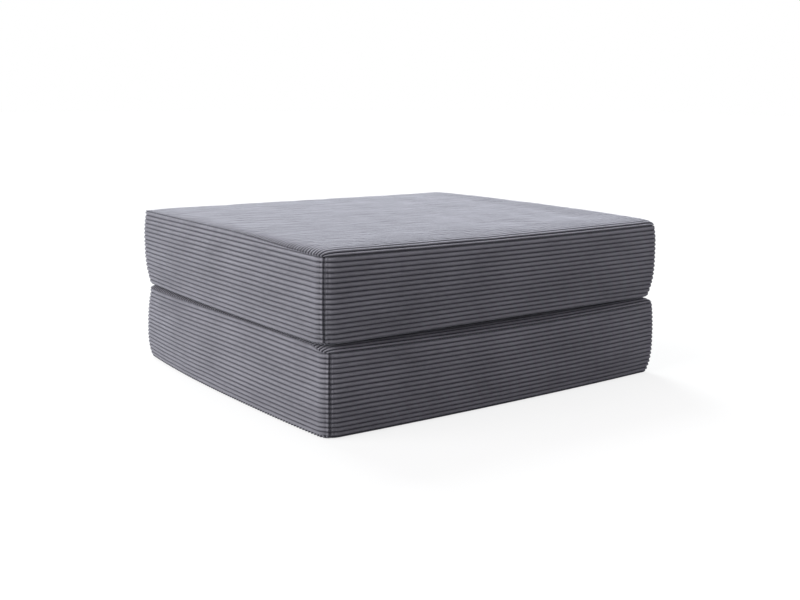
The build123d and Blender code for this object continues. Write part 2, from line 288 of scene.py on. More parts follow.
class Block:
    """Form of one covered block, placed by the frame."""

    def __init__(self, name, outward):
        self.name = name
        self.body = f"{name}_block"
        self.up = outward  # +1 where the outer face is the upper one
        front, free_end, hinge_end = (
            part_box(f"{name}_cover_{side}_border") for side in ("front", "free_end", "hinge_end")
        )
        sleeping, outer = (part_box(f"{name}_cover_{face}_panel") for face in ("sleeping", "outer"))
        coils = [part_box(f"{name}_zip_coil_{side}") for side in ("outer", "inner")]
        self.half_x = (hinge_end[1].x - free_end[0].x) / 2
        self.half_y = -front[0].y
        self.middle_x = (hinge_end[1].x + free_end[0].x) / 2
        self.sleeping_z = sleeping[outward < 0].z
        self.height = abs(outer[outward > 0].z - self.sleeping_z)
        self.zip_z = (min(c[0].z for c in coils) + max(c[1].z for c in coils)) / 2
        self.zip_k = (self.zip_z - self.sleeping_z) * outward
        forms = zip(EDGE_TILT[name], EDGE_TURN[name], EDGE_REACH[name])
        self.rolls = [edge_roll(*form) for form in forms]
        self.seams = (self.rolls[0][2][-1], self.height - self.rolls[1][2][-1])
        self.seed = BLOCK_SEEDS[name]

    def z(self, k):
        """Level in the frame of this height in the block."""
        return self.sleeping_z + self.up * k

    def k(self, points):
        """Height in the block of these points."""
        return (points[..., 2] - self.sleeping_z) * self.up

    def off_middle(self, k):
        """From -1 at the sleeping face's seam to 1 at the outer one's."""
        low, high = self.seams
        return np.clip((2 * k - low - high) / (high - low), -1, 1)

    def inset(self, k):
        """How far the sides are drawn in at height k."""
        share = self.off_middle(k)
        sleeping, outer = SIDE_TUCK[self.name]
        return np.where(share < 0, sleeping * share**2, outer * np.abs(share) ** 3)

    def corner(self, k):
        """Radius of the corners, the near one apart, at height k."""
        share = self.off_middle(k)
        return CORNER_RADIUS + np.where(share < 0, *SOFTENING[self.name]) * share**4

    def heights(self, share):
        """Heights at these shares of a border's cloth, from the sleeping face's seam."""
        k = np.linspace(*self.seams, ROLL_STEPS)
        along = np.append(0, np.cumsum(np.hypot(np.diff(k), np.diff(self.inset(k)))))
        return np.interp(share * along[-1], along, k)

    def near_turn(self, k):
        """How far round the near corner its seam lies from the free end, in radians."""
        turn = np.linspace(0, math.pi / 2, TURN_STEPS)
        inset, radius = self.inset(k), self.corner(k) + NEAR_CORNER_EXTRA
        x = self.half_x - inset - radius * (1 - np.cos(turn))
        y = self.half_y - inset - radius * (1 - np.sin(turn))
        place = -math.sin(SEAM_PLANE_HEADING) * y - math.cos(SEAM_PLANE_HEADING) * x
        found = [np.interp(SEAM_PLANE_PLACE[self.name], row, turn) for row in place]
        return np.array(found)[:, None]

    def corners(self, side, k):
        """Radius and turn of a side's cloth round the corners at its start and at its end."""
        radius, near = self.corner(k), self.near_turn(k)
        other = radius, math.pi / 4 + 0 * k
        wide = radius + NEAR_CORNER_EXTRA
        start = (wide, math.pi / 2 - near) if side == "front" else other
        end = (wide, near) if side == "free_end" else other
        return start, end

    def shifted(self, points, cut=None):
        """The same points, moved near the free end; cut is the share of the one more wale."""
        levels = (0, *self.seams, self.height)
        shares = ((0, 1, 0, 0), (0, 0, 1, 1), (0, 0, 1, 0))
        droop, bulge, outer = (np.interp(self.k(points), levels, share) for share in shares)
        if cut is None:
            cut = outer if self.up > 0 else droop
        along = (points[..., 1] / self.half_y + 1) / 2
        near_end = 1 - ease((points[..., 0] - self.middle_x + self.half_x) / FREE_END_REACH)
        weight, cut_weight = (
            near_end * eased_from(FREE_END_LEAST, (along - start) / (end - start))
            for start, end in (BACK_CORNER_SPAN, CUT_WALE_SPAN[self.name])
        )
        low, high = BACK_CORNER_BULGE[self.name]
        moved = points.copy()
        moved[..., 2] += self.up * weight * droop * BACK_CORNER_DROOP[self.name]
        moved[..., 2] += cut_weight * cut * WALE_PITCH
        moved[..., 0] -= weight * ((1 - bulge) * low + bulge * high)
        return moved

    def half_sizes(self, side, k):
        """Half of the side's length, and how far it lies from the block's middle, at height k."""
        along, out = self.half_x, self.half_y
        if side in ("free_end", "hinge_end"):
            along, out = out, along
        inset = self.inset(k)
        return along - inset, out - inset

    def settled(self, points):
        """The same points, with the sides swollen and their seams drawn off level."""
        x, y = points[..., 0] - self.middle_x, points[..., 1]
        share = (1 + self.off_middle(self.k(points))) / 2
        moved = points.copy()
        for side, along, deep in (
            ("front", x / self.half_x, y + self.half_y),
            ("free_end", y / self.half_y, x + self.half_x),
            ("hinge_end", y / self.half_y, self.half_x - x),
        ):
            weight = np.clip(1 - along**2, 0, 1) * (1 - ease(deep / BOW_REACH))
            pairs = BOWS[self.name][side], SAGS[self.name][side]
            bow, sag = ((1 - share) * pair[0] + share * pair[1] for pair in pairs)
            nx, ny = OUTWARD[side]
            moved += np.stack([nx * bow, ny * bow, self.up * sag], -1) * weight[..., None]
        return moved


def side_columns(block, side):
    """Columns of a border: the share of its straight run, and the share of its turn at a corner."""
    straight = block.half_sizes(side, block.height / 2)[0] - CORNER_RADIUS
    turned = 1 - (1 - np.linspace(0, 1, ARC_COLUMNS + 1)) ** ARC_CROWDING
    ends = np.ones(ARC_COLUMNS)
    along = np.linspace(-1, 1, int(round(2 * straight / SIDE_COLUMN)) + 1)
    if side == "back":
        slot_end = SLOT_HALF_LENGTH / straight
        hem = slot_end + HEM_FOLD / straight * np.array([-1, 0])
        clear = np.abs(np.abs(along) - slot_end) > SLOT_END_CLEAR
        along = np.sort(np.concatenate([along[clear], hem, -hem]))
    run = np.concatenate([-ends, along, ends])
    turn = np.concatenate([-turned[:0:-1], np.zeros(len(along)), turned[1:]])
    return run[None, :], turn[None, :]


def border_form(block, side, k, run, turned):
    """Points of a border at heights k, with no wales yet, and the distance to each corner seam."""
    along, out = block.half_sizes(side, k)
    (radius_start, start), (radius_end, end) = block.corners(side, k)
    straight = 2 * along - radius_start - radius_end
    from_start = straight * (run + 1) / 2
    turn = turned * np.where(turned < 0, start, end)
    radius = np.where(turned < 0, radius_start, radius_end)
    u = radius_start - along + from_start + radius * np.sin(turn)
    v = out - radius * (1 - np.cos(turn)) + 0 * u
    nx, ny = OUTWARD[side]
    x, y = nx * v - ny * u + block.middle_x, ny * v + nx * u
    points = np.stack([x, y, block.z(k) + 0 * u], -1)
    to_start = from_start + radius * turn + radius_start * start
    to_end = straight - from_start - radius * turn + radius_end * end
    return points, to_start, to_end


def surface_normals(points, towards):
    """Unit normals of a grid of points, on the side that the directions point to."""
    normals = np.cross(np.gradient(points, axis=1), np.gradient(points, axis=0))
    normals /= np.maximum(np.linalg.norm(normals, axis=-1, keepdims=True), TINY)
    return normals * np.sign((normals * towards).sum(-1, keepdims=True))


def grid_piece(name, points, cloth, outward, keep=None):
    """Mesh object of a grid of points, with where each lies on the cloth, facing outward."""
    rows, columns = points.shape[:2]
    index = np.arange(rows * columns).reshape(rows, columns)
    quads = np.stack([index[:-1, :-1], index[:-1, 1:], index[1:, 1:], index[1:, :-1]], -1)
    quads = quads.reshape(-1, 4) if keep is None else quads[keep]
    used, quads = np.unique(quads, return_inverse=True)
    quads = quads.reshape(-1, 4)
    co = points.reshape(-1, 3)[used]
    a, b, c, d = (co[quads[:, i]] for i in range(4))
    facing = (np.cross(c - a, d - b) * outward.reshape(-1, 3)[used][quads[:, 0]]).sum()
    if facing < 0:
        quads = quads[:, ::-1]
    return mesh_piece(name, co, quads, cloth.reshape(-1, 3)[used])


def mesh_piece(name, points, faces, cloth=None, smooth=True):
    """Object with these points and faces."""
    mesh = bpy.data.meshes.new(name)
    mesh.from_pydata(np.asarray(points).tolist(), [], [[int(n) for n in face] for face in faces])
    mesh.polygons.foreach_set("use_smooth", np.full(len(mesh.polygons), smooth))
    if cloth is not None:
        attribute = mesh.attributes.new("cloth", "FLOAT_VECTOR", "POINT")
        attribute.data.foreach_set("vector", np.asarray(cloth, np.float32).ravel())
    mesh.update()
    piece = bpy.data.objects.new(name, mesh)
    bpy.context.scene.collection.objects.link(piece)
    return piece


def wale_rows(wales):
    """Rows across a number of wales, counted in wales."""
    rows = [n + share for n in range(wales) for share in WALE_SAMPLES]
    return np.array(rows + [wales], float)


def wale_strengths(wales, seed):
    """Uneven height of each wale, about 1."""
    spread = np.random.default_rng(seed).uniform(-1, 1, wales + 1)
    return 1 + WALE_UNEVENNESS * spread


class Rows:
    """Rows of a border, from the sleeping face's seam to the outer one."""

    def __init__(self, block, side):
        self.k, self.pile, self.wale, self.cut = [], [], [], None
        if side == "back":
            self.zipped(block)
        else:
            more = side == "free_end"
            rows = wale_rows(BORDER_WALES + more) - (more and block.up < 0)
            if more:
                self.cut = (np.clip(rows - BORDER_WALES, 0, 1) + np.clip(-rows, 0, 1))[:, None]
            self.add(block.heights(rows / BORDER_WALES), wale_height(rows), rows)
        self.k, self.pile = np.array(self.k)[:, None], np.array(self.pile)[:, None]
        self.wale = (np.floor(self.wale) - min(self.wale)).astype(int)

    def zipped(self, block):
        """Rows of the back: wales on either side of the flat hems and the slot between them."""
        zip_k, flat = block.zip_k, HEM_PILE
        low, high = zip_k - SLOT_HALF, zip_k + SLOT_HALF
        self.wales(block.seams[0], low - HEM_BAND, 0)
        self.add([low - HEM_BAND, low - HEM_BAND + HEM_RISE, low], [0, flat, flat])
        self.add([low + HEM_FOLD, zip_k - SLOT_ROW, zip_k], [flat, flat, SLOT_PILE])
        self.add([zip_k + SLOT_ROW, high - HEM_FOLD], [flat, flat])
        self.add([high, high + HEM_BAND - HEM_RISE], [flat, flat])
        self.wales(high + HEM_BAND, block.seams[1], BORDER_WALES // 2 + 1)
        self.add([block.seams[1]], [0])

    def add(self, k, pile, wale=None):
        """More rows, each with its height and the share of the pile that stands there."""
        self.k += list(k)
        self.pile += list(pile)
        self.wale += list(np.zeros(len(k)) if wale is None else wale)

    def wales(self, start, end, first):
        """Rows of whole wales between two heights, the first one with this number."""
        count = int(round((end - start) / WALE_PITCH))
        rows = wale_rows(count)[:-1]
        self.add(start + (end - start) * rows / count, wale_height(rows), rows + first)


def wale_shift(block, rows, run, to_corner, seed):
    """How far the wales of a border leave their level towards its corners."""
    near = np.exp(-to_corner / WALE_SHIFT_REACH)
    heights, ends = rows.k * WALE_SHIFT_SCALE, np.sign(run) * WALE_SHIFT_ENDS
    shift = WALE_SHIFT * near * waves(heights, ends, WALE_SHIFT_SIZE, seed + 5)
    return block.up * shift * np.clip(from_edges(rows.k) / WALE_PITCH, 0, 1)


def border_relief(block, side, rows, pile, to_start, to_corner, from_face, seed):
    """How far in from a border's form its cloth lies."""
    strength = wale_strengths(BORDER_WALES + 1, seed)[rows.wale][:, None]
    groove = WALE_DEPTH * strength * (1 - pile) * wale_end(to_corner)
    puff = PUFF_HEIGHT * pile * ridge(to_corner, PUFF_PLACE, PUFF_SIZE)
    pleat = PLEAT_DEPTH * ridge(to_corner, PLEAT_PLACE, PLEAT_SIZE)
    swell = SWELL * waves(to_start, rows.k + 0 * to_start, SWELL_SIZE, seed + 9)
    swell = swell * ease(from_face / SWELL_FADE)
    if side == "back":
        from_hem = np.abs(rows.k - block.zip_k) - SLOT_HALF - HEM_BAND
        swell = swell * ease(from_hem / SWELL_FADE)
    inward = groove + seam_fold(to_corner)
    inward += seam_fold(from_face, LEVEL_SEAM_DEPTH, LEVEL_SEAM_WIDTH)
    inward -= puff
    inward += np.maximum(swell, -BORDER_RISE)
    uneven = waves(rows.k, 0 * to_start, PLEAT_SPREAD_SIZE, seed + 2)
    inward += pleat * (PLEAT_MEAN + PLEAT_SPREAD * uneven)
    inward -= tucks(to_corner, from_face, seed)
    return inward


def in_zip_slot(block, points):
    """Which points lie in the slot that the zip fills."""
    along = np.abs(points[..., 0] - block.middle_x) < SLOT_HALF_LENGTH - HEM_FOLD / 2
    return along & (np.abs(points[..., 2] - block.zip_z) < SLOT_HALF - HEM_FOLD / 2)


def border(block, side):
    """Border panel of corduroy with level wales, from the sleeping face's seam to the outer one."""
    seed = block.seed + SIDES.index(side)
    rows = Rows(block, side)
    run, turn = side_columns(block, side)
    points, to_start, to_end = border_form(block, side, rows.k, run, turn)
    to_corner = np.minimum(to_start, to_end)
    points[..., 2] += wale_shift(block, rows, run, to_corner, seed)
    points = block.shifted(points, rows.cut)
    from_face = from_edges(block.k(points))
    normals = surface_normals(points, np.array([*OUTWARD[side], 0.0]) + 0 * points)
    pile = rows.pile + 0 * to_corner
    inward = border_relief(block, side, rows, pile, to_start, to_corner, from_face, seed)
    keep = None
    if side == "back":
        in_slot = in_zip_slot(block, points)
        inward = np.where(in_slot, block.half_y - TAPE_FACE, inward)
        keep = ~(in_slot[:-1, :-1] & in_slot[1:, :-1] & in_slot[1:, 1:] & in_slot[:-1, 1:])
    points = points - normals * inward[..., None]
    # the pile's colour carries painted shade along the upright corner seams
    cloth = np.stack([to_start, rows.k + 0 * to_start, pile_with_painted_seam_shade(pile, to_corner)], -1)
    return grid_piece(f"{block.name}_{side}_cloth", block.settled(points), cloth, normals, keep)


def panel_columns(half, roll_reach):
    """Columns of a panel along its wales, from the middle, closer together towards its ends."""
    edge = max(roll_reach, EDGE_LEAST)
    middle = half - edge
    share = np.linspace(0, 1, EDGE_COLUMNS + 1)[1:]
    ends = middle + edge * (1 - (1 - share) ** EDGE_CROWDING)
    columns = np.linspace(-middle, middle, int(round(2 * middle / PANEL_COLUMN)) + 1)
    return np.concatenate([-ends[::-1], columns, ends])[None, :]


def over_edge(roll, distance, run):
    """Way out, share of the drop and slope, this far along the cloth from a panel's middle."""
    past = np.clip(distance - run, 0, None)
    out, drop, slope = (np.interp(past, roll[0], part) for part in roll[1:])
    return np.minimum(distance, run) + out, drop / roll[2][-1], slope


def corners_rounded(x, y, half_x, half_y, radius):
    """Points of a panel's quarter, drawn in so that its outline goes round the corner."""
    qx, qy = np.clip((x - half_x) / radius + 1, 0, 1), np.clip((y - half_y) / radius + 1, 0, 1)
    inner_x = x - radius * qx * (1 - np.sqrt(1 - qy**2 / 2))
    inner_y = y - radius * qy * (1 - np.sqrt(1 - qx**2 / 2))
    return inner_x, inner_y


def rolled_normals(slope_x, slope_y, steepest, way):
    """Unit normals of a panel whose cloth falls off by these angles along X and Y."""
    steep = np.hypot(slope_x, slope_y)
    slope = np.minimum(steep, steepest)
    sideways = np.sin(slope) / np.maximum(steep, TINY)
    return np.stack([slope_x * sideways, slope_y * sideways, way * np.cos(slope)], -1)


def panel_relief(x, y, rows, to_end, to_seam, rise, seed):
    """How far in from a panel's form its cloth lies, and the pile as its parted wales show it."""
    parted = 1 - ease(to_seam / PARTING_REACH)
    strength = wale_strengths(int(rows[-1]), seed)[rows.astype(int)][:, None]
    strength = strength * (1 + PARTING_DEPTH * parted)
    pile = wale_height(rows)[:, None] + 0 * to_end
    groove = WALE_DEPTH * strength * (1 - pile) * wale_end(to_end)
    swell = SWELL * waves(x, y, SWELL_SIZE, seed + 3)
    swell = swell + FINE_SWELL * waves(x, y, FINE_SWELL_SIZE, seed + 4)
    swell = np.maximum(swell, -rise)
    puff = PUFF_HEIGHT * pile * ridge(to_end, PUFF_PLACE, PUFF_SIZE)
    inward = groove + seam_fold(to_seam) + swell * ease(to_seam / SWELL_FADE) - puff
    return inward, np.clip(pile * (1 + PARTING * parted) - PARTING * parted, 0, 1)


def panel(block, face):
    """Panel of corduroy over one face, with wales along X, rolled over the edges to its seam."""
    outer = face == "outer"
    seam_k = block.seams[outer]
    roll = block.rolls[outer]
    reach, out, drop_most, steepest = (part[-1] for part in roll)
    inset = float(block.inset(seam_k))
    half_x, half_y = block.half_x - inset, block.half_y - inset
    run_x, run_y = half_x - out, half_y - out
    flat_x, flat_y = run_x + reach, run_y + reach
    wales = int(round(2 * flat_y / WALE_PITCH))
    rows = wale_rows(wales)
    a = panel_columns(flat_x, reach)
    b = (rows / wales * 2 - 1)[:, None] * flat_y

    x, drop_x, slope_x = over_edge(roll, np.abs(a), run_x)
    y, drop_y, slope_y = over_edge(roll, np.abs(b), run_y)
    drop = 1 - (1 - drop_x) * (1 - drop_y)
    radius = float(block.corner(seam_k)) + NEAR_CORNER_EXTRA * ((a < 0) & (b < 0))
    x, y = corners_rounded(x, y, half_x, half_y, radius)
    x, y = np.sign(a) * x, np.sign(b) * y
    k = block.height - drop_most * drop if outer else drop_most * drop
    points = block.shifted(np.stack([x + block.middle_x, y, block.z(k)], -1))
    way = block.up if outer else -block.up
    normals = rolled_normals(np.sign(a) * slope_x, np.sign(b) * slope_y, steepest, way)

    to_end = flat_x - np.abs(a) + 0 * b
    to_side = flat_y - np.abs(b)
    rise = PANEL_RISE if way > 0 and outer else 0  # the other faces lie against something
    seed = block.seed + PANEL_SEEDS[face]
    inward, pile = panel_relief(x, y, rows, to_end, np.minimum(to_end, to_side), rise, seed)
    points = points - normals * inward[..., None]
    # the pile's colour carries painted shade along the seams beside the wales
    cloth = np.stack([x, y, pile_with_painted_seam_shade(pile, to_side)], -1)
    return grid_piece(f"{block.name}_{face}_cloth", block.settled(points), cloth, normals)


def loft(rings, low_tip, high_tip):
    """Points and faces of a closed form through rings of points, with a point at either end."""
    count, size = len(rings), len(rings[0])
    points = np.concatenate([[low_tip], *rings, [high_tip]])
    pairs = [(n, (n + 1) % size) for n in range(size)]
    faces = [(0, 1 + b, 1 + a) for a, b in pairs]
    for first in range(1, 1 + (count - 1) * size, size):
        after = first + size
        faces += [(first + a, first + b, after + b, after + a) for a, b in pairs]
    last = 1 + (count - 1) * size
    faces += [(last + a, last + b, len(points) - 1) for a, b in pairs]
    return points, faces


def layer_ring(block, inset, k):
    """Outline of an inner layer at height k, this far in from the block's sides."""
    turn = np.linspace(0, math.pi / 2, LAYER_ARC_POINTS)
    corners = []
    for quarter, (way_x, way_y) in enumerate(((1, 1), (-1, 1), (-1, -1), (1, -1))):
        extra = NEAR_CORNER_EXTRA * (way_x < 0 and way_y < 0)
        radius = max(float(block.corner(k)) + extra - inset / 2, LEAST_RADIUS)
        angle = turn + quarter * math.pi / 2
        x = way_x * (block.half_x - inset - radius) + radius * np.cos(angle)
        y = way_y * (block.half_y - inset - radius) + radius * np.sin(angle)
        corners.append(np.stack([x + block.middle_x, y, block.z(k) + 0 * x], -1))
    share = np.linspace(0, 1, LAYER_SIDE_POINTS + 2)[1:-1, None]
    ring = []
    for here, there in zip(corners, corners[1:] + corners[:1]):
        ring += [here, here[-1] + (there[0] - here[-1]) * share]
    return block.settled(block.shifted(np.concatenate(ring)))


def layer_levels(block, depth, outer):
    """Inset and height of an inner layer, from one face's flat middle to half way up the sides."""
    _, out, drop, _ = block.rolls[outer]
    sign, face = (-1, block.height) if outer else (1, 0)
    seam = block.seams[outer]
    middle = sum(block.seams) / 2
    seam_inset = float(block.inset(seam))
    levels = []
    for share in LAYER_ROLL_SHARES:
        n = int(share * (ROLL_STEPS - 1))
        levels.append((seam_inset + out[-1] - out[n] + depth, face + sign * (drop[n] + depth)))
    for share in LAYER_SIDE_SHARES:
        k = seam + (middle - seam) * share
        levels.append((float(block.inset(k)) + depth, k + sign * depth * (1 - share)))
    return levels + [(depth, middle)]


def layer(block, levels):
    """Closed form through an inner layer's outlines at these levels: points and faces."""
    rings = [layer_ring(block, *level) for level in levels]
    return loft(rings, rings[0].mean(0), rings[-1].mean(0))


def filling(block, foam, fleece):
    """What the cover holds: a foam core, and over each face a sheet of wadding half way down."""
    sleeping, outer = (layer_levels(block, CORE_DEPTH, face) for face in (0, 1))
    piece = mesh_piece(f"{block.name}_core", *layer(block, sleeping + outer[-2::-1]))
    covered(piece, block, ["foam_core"], foam)
    depths = (WADDING_DEPTH, CORE_DEPTH - LAYER_GAP)
    for outer, (face, sheet) in enumerate((("sleeping", "inner"), ("outer", "outer"))):
        outside, inside = (layer_levels(block, depth, outer) for depth in depths)
        piece = mesh_piece(f"{block.name}_{face}_wadding", *layer(block, outside + inside[::-1]))
        covered(piece, block, [f"wadding_{sheet}_sheet"], fleece)


def placed(shape, places):
    """Many copies of one small shape, each moved to its place: points and faces."""
    points, faces = np.array(shape[0], float), shape[1]
    moved = (points[None] + np.array(places)[:, None]).reshape(-1, 3)
    starts = range(0, len(moved), len(points))
    return moved, [[i + start for i in face] for start in starts for face in faces]


def prism(section, x0, x1):
    """Solid with this outline across X: points and faces."""
    size = len(section)
    points = [(x, y, z) for x in (x0, x1) for y, z in section]
    faces = [tuple(range(size)), tuple(range(2 * size - 1, size - 1, -1))]
    faces += [(n, n + size, (n + 1) % size + size, (n + 1) % size) for n in range(size)]
    return points, faces


def rounded(y0, y1, z0, z1, cut):
    """Outline of a bar with its edges cut, as (y, z)."""
    return [
        (y0 + cut, z0), (y1 - cut, z0), (y1, z0 + cut), (y1, z1 - cut),
        (y1 - cut, z1), (y0 + cut, z1), (y0, z1 - cut), (y0, z0 + cut),
    ]


def zip_part(block, name, shape, xs, node, material):
    """Copies of a shape along the zip, as a piece that stands for a CAD node."""
    copies = placed(shape, [(x, 0, block.zip_z) for x in xs])
    piece = mesh_piece(f"{block.name}_{name}", *copies, smooth=False)
    dressed(piece, block, [node], material)
    return piece


def zip_chain(block, cloth, nylon):
    """Tapes with their teeth, and the cloth tabs that close the ends of the zip."""
    middle, half = block.middle_x, SLOT_HALF_LENGTH
    run = half - TAB_LENGTH - TOOTH_PITCH / 2
    for side, way in (("outer", block.up), ("inner", -block.up)):
        low, high = sorted((way * TAPE_EDGE, way * (TAPE_EDGE + TAPE_HEIGHT)))
        tape = prism(rounded(TAPE_BACK, TAPE_FRONT, low, high, TAPE_ROUNDING), -half, half)
        node = f"zip_tape_{side}"
        piece = zip_part(block, f"tape_{side}", tape, [middle], node, cloth)
        low, high = sorted((way * TOOTH_TIP, way * TOOTH_HEEL))
        section = rounded(TAPE_FRONT, TAPE_FRONT + TOOTH_HEIGHT, low, high, TOOTH_ROUNDING)
        tooth = prism(section, -TOOTH_WIDTH / 2, TOOTH_WIDTH / 2)
        shift = TOOTH_PITCH / 4 * (1 if side == "outer" else -1)
        along = np.arange(-run, run, TOOTH_PITCH) + shift + middle
        zip_part(block, f"teeth_{side}", tooth, along, f"zip_coil_{side}", nylon)
    section = rounded(TAPE_FRONT, TAPE_FRONT + TAB_THICKNESS, -TAB_HALF, TAB_HALF, TAB_ROUNDING)
    tab, starts = prism(section, 0, TAB_LENGTH), (middle - half, middle + half - TAB_LENGTH)
    zip_part(block, "end_tabs", tab, starts, "zip_end_tabs", cloth)


def stitches(block, thread):
    """Rows of stitching that hold the hems down on the tapes."""
    half, thick = STITCH_LENGTH / 2, STITCH_THICKNESS / 2
    angles = np.arange(STITCH_SIDES) * math.tau / STITCH_SIDES
    section = [(math.cos(angle) * thick, math.sin(angle) * thick) for angle in angles]
    thin = half * STITCH_TAPER
    rings = [[(x, y, z) for y, z in section] for x in (-thin, thin)]
    stitch = loft(rings, (-half, -thick, 0), (half, -thick, 0))
    run = np.arange(-SLOT_HALF_LENGTH, SLOT_HALF_LENGTH, STITCH_PITCH)
    y = block.half_y - WALE_DEPTH * STITCH_SINK
    rows = [block.zip_z + way * (SLOT_HALF + STITCH_MARGIN) for way in (-1, 1)]
    places = [(x + block.middle_x, y, z) for z in rows for x in run]
    piece = mesh_piece(f"{block.name}_hem_stitches", *placed(stitch, places))
    piece.data.materials.append(thread)
    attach(piece, block.body)


def hinge_line(blocks, fold):
    """Middle line of the strip from seam to seam over the fold: X and Z of its points."""
    share = np.linspace(0, 1, HINGE_STEPS)
    bend = np.sin(share * math.pi / 2) ** HINGE_BEND
    halves = []
    for block in blocks:
        seam = block.seams[0]
        x = block.middle_x + block.half_x - float(block.inset(seam)) - SEAM_DEPTH
        z = block.z(seam)
        halves.append((x + (fold[0] - x) * share, z + (fold[1] - z) * bend))
    return np.stack([np.concatenate([a, b[-2::-1]]) for a, b in zip(*halves)], -1)


def hinge_strip(lower, upper, cloth):
    """Strip of cloth sewn into the seams of both sleeping faces, bent round the fold line."""
    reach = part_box("lower_hinge_leaf")[1]
    half_length = reach.y
    fold = (reach.x, (lower.sleeping_z + upper.sleeping_z) / 2)
    line = hinge_line((lower, upper), fold)
    along = np.gradient(line, axis=0)
    along /= np.linalg.norm(along, axis=1, keepdims=True)
    offset = np.stack([along[:, 1], -along[:, 0]], -1) * HINGE_CLOTH / 2
    outline = np.concatenate([line + offset, (line - offset)[::-1]])
    size = len(outline)
    across = np.linspace(-half_length, half_length, HINGE_COLUMNS)
    points = np.array([(at_x, y, at_z) for y in across for at_x, at_z in outline])
    faces = [tuple(range(size)), tuple(range(len(points) - 1, len(points) - size - 1, -1))]
    for a in range(0, len(points) - size, size):
        pairs = [(i, (i + 1) % size) for i in range(size)]
        faces += [(a + i, a + size + i, a + size + j, a + j) for i, j in pairs]
    piece = mesh_piece("hinge_cloth", points, faces)
    piece.data.materials.append(cloth)
    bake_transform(piece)
    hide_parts("lower_hinge_leaf", "upper_hinge_leaf")
    width = float(np.hypot(*np.diff(line, axis=0).T).sum())


class Surface:
    """Material in the making: its main shader, and short ways to add nodes to it."""

    def __init__(self, name, roughness, specular=0.25):
        self.material = bpy.data.materials.new(name)
        self.material.use_nodes = True
        self.nodes, self.links = self.material.node_tree.nodes, self.material.node_tree.links
        self.shader = self.nodes["Principled BSDF"]
        self.set("Roughness", roughness)
        self.set("Specular IOR Level", specular)
        self.place = self.nodes.new("ShaderNodeTexCoord").outputs["Object"]

    def set(self, socket, value):
        self.shader.inputs[socket].default_value = value

    def noise(self, scale, detail, vector=None):
        node = self.nodes.new("ShaderNodeTexNoise")
        node.inputs["Scale"].default_value = scale
        node.inputs["Detail"].default_value = detail
        self.links.new(self.place if vector is None else vector, node.inputs["Vector"])
        return node.outputs["Fac"]

    def bands(self, direction, scale):
        node = self.nodes.new("ShaderNodeTexWave")
        node.bands_direction = direction
        node.inputs["Scale"].default_value = scale
        self.links.new(self.place, node.inputs["Vector"])
        return node.outputs["Fac"]

    def stretched(self, vector, scales):
        node = self.nodes.new("ShaderNodeMapping")
        node.inputs["Scale"].default_value = scales
        self.links.new(vector, node.inputs["Vector"])
        return node.outputs["Vector"]

    def sum(self, *terms):
        """Sum of sockets times their factors."""
        total = None
        for socket, factor in terms:
            node = self.nodes.new("ShaderNodeMath")
            node.operation = "MULTIPLY_ADD"
            self.links.new(socket, node.inputs[0])
            node.inputs[1].default_value, node.inputs[2].default_value = factor, 0
            if total is not None:
                self.links.new(total, node.inputs[2])
            total = node.outputs[0]
        return total

    def ramp(self, factor, *stops):
        node = self.nodes.new("ShaderNodeValToRGB")
        elements = node.color_ramp.elements
        while len(elements) < len(stops):
            elements.new(0.5)
        for element, (position, colour) in zip(elements, stops):
            element.position, element.color = position, (*colour, 1)
        self.links.new(factor, node.inputs["Fac"])
        return node.outputs["Color"]

    def tinted(self, colour, factor):
        node = self.nodes.new("ShaderNodeVectorMath")
        node.operation = "SCALE"
        if isinstance(colour, tuple):
            node.inputs[0].default_value = colour
        else:
            self.links.new(colour, node.inputs[0])
        self.links.new(factor, node.inputs["Scale"])
        return node.outputs["Vector"]

    def finish(self, colour, height, distance, strength=0.4):
        self.links.new(colour, self.shader.inputs["Base Color"])
        bump = self.nodes.new("ShaderNodeBump")
        bump.inputs["Strength"].default_value = strength
        bump.inputs["Distance"].default_value = distance
        self.links.new(height, bump.inputs["Height"])
        self.links.new(bump.outputs["Normal"], self.shader.inputs["Normal"])
        return self.material


def corduroy_material():
    """Dark grey pile: grooves darkened by ground weave and painted shade, painted highlight on
    crest tops, blotches and grain.
    """
    surface = Surface("corduroy_pile", roughness=0.85)
    surface.set("Sheen Weight", 0.9)
    surface.set("Sheen Roughness", 0.45)
    surface.set("Sheen Tint", (0.80, 0.82, 0.92, 1))
    cloth = surface.nodes.new("ShaderNodeAttribute")
    cloth.attribute_name = "cloth"
    place = cloth.outputs["Vector"]
    parts = surface.nodes.new("ShaderNodeSeparateXYZ")
    surface.links.new(place, parts.inputs[0])
    grain = surface.noise(scale=700, detail=3)
    streaks = surface.noise(scale=1, detail=2, vector=surface.stretched(place, (45, 420, 1)))
    blotches = surface.noise(scale=1, detail=2, vector=surface.stretched(place, (7, 18, 1)))
    # stops for groove, side of a wale and crest: the groove's dark is partly ground weave, partly
    # painted shade; the top stop is a painted highlight on the crests
    pile = surface.ramp(
        parts.outputs["Z"],
        (0.25, (0.046, 0.044, 0.055)),
        (0.85, (0.270, 0.264, 0.298)),
        (1.0, (0.330, 0.322, 0.364)),
    )
    shade = surface.sum((blotches, 0.7), (streaks, 0.65), (grain, 0.65))
    fibres = surface.sum((grain, 1), (streaks, 1))
    return surface.finish(surface.tinted(pile, shade), fibres, distance=0.0006, strength=0.35)


def woven_material(name, colour, threads, roughness=0.8):
    """Plain cloth with threads both ways."""
    surface = Surface(name, roughness)
    surface.set("Sheen Weight", 0.2)
    weave = surface.sum((surface.bands("X", threads), 0.5), (surface.bands("Z", threads), 0.5))
    lint, blotches = surface.noise(scale=900, detail=2), surface.noise(scale=30, detail=2)
    shade = surface.sum((weave, 0.5), (lint, 0.5), (blotches, 0.9))
    return surface.finish(surface.tinted(colour, shade), weave, distance=0.0003)


